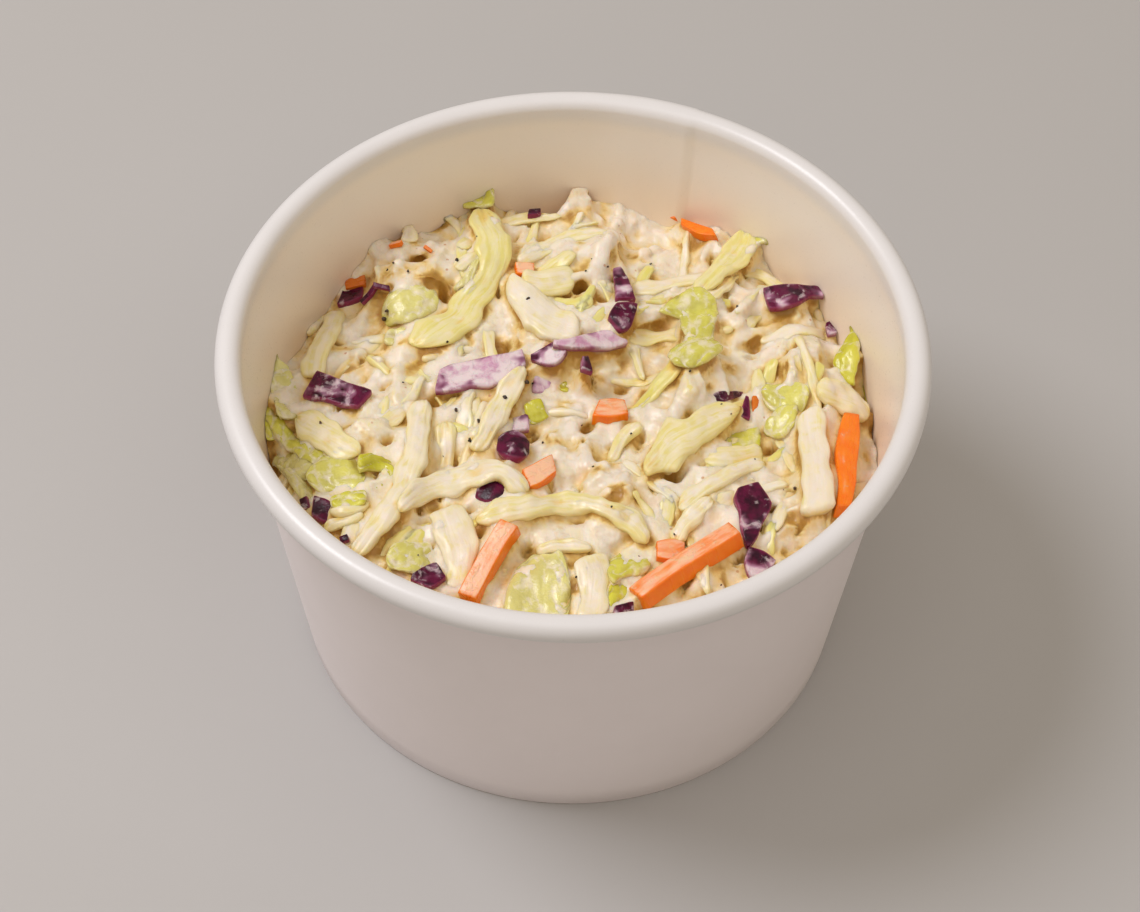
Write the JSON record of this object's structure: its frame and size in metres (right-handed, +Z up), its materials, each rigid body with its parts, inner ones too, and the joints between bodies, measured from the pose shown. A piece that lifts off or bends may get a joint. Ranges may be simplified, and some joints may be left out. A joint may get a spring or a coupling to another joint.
{
  "type": "tub of coleslaw",
  "caption": "Creamy coleslaw of shredded white and red cabbage with carrot sticks, filling a round white paper food cup with a rolled rim.",
  "frame": {"origin": "centre of the cup's foot, on the surface that it stands on", "axes": "+Z up along the cup's axis; -Y towards the side shown at the front; the wall's side seam lies at the back, towards +Y and a little to +X"},
  "size_m": [0.097, 0.097, 0.0552],
  "materials": {
    "cup_board": "white coated paperboard, satin",
    "dressed_cabbage": "moist cabbage in a creamy dressing, soft sheen",
    "cream_dressing": "creamy dressing, moist sheen",
    "green_cabbage": "green outer cabbage leaf with a thin coat of dressing",
    "red_cabbage": "red cabbage, dark purple skin, moist sheen",
    "carrot": "cut carrot, moist sheen",
    "pepper": "ground black pepper"
  },
  "bodies": {
    "root": {"cup_wall": "cup_board", "cup_base": "cup_board", "slaw": "dressed_cabbage"}
  },
  "joints": []
}
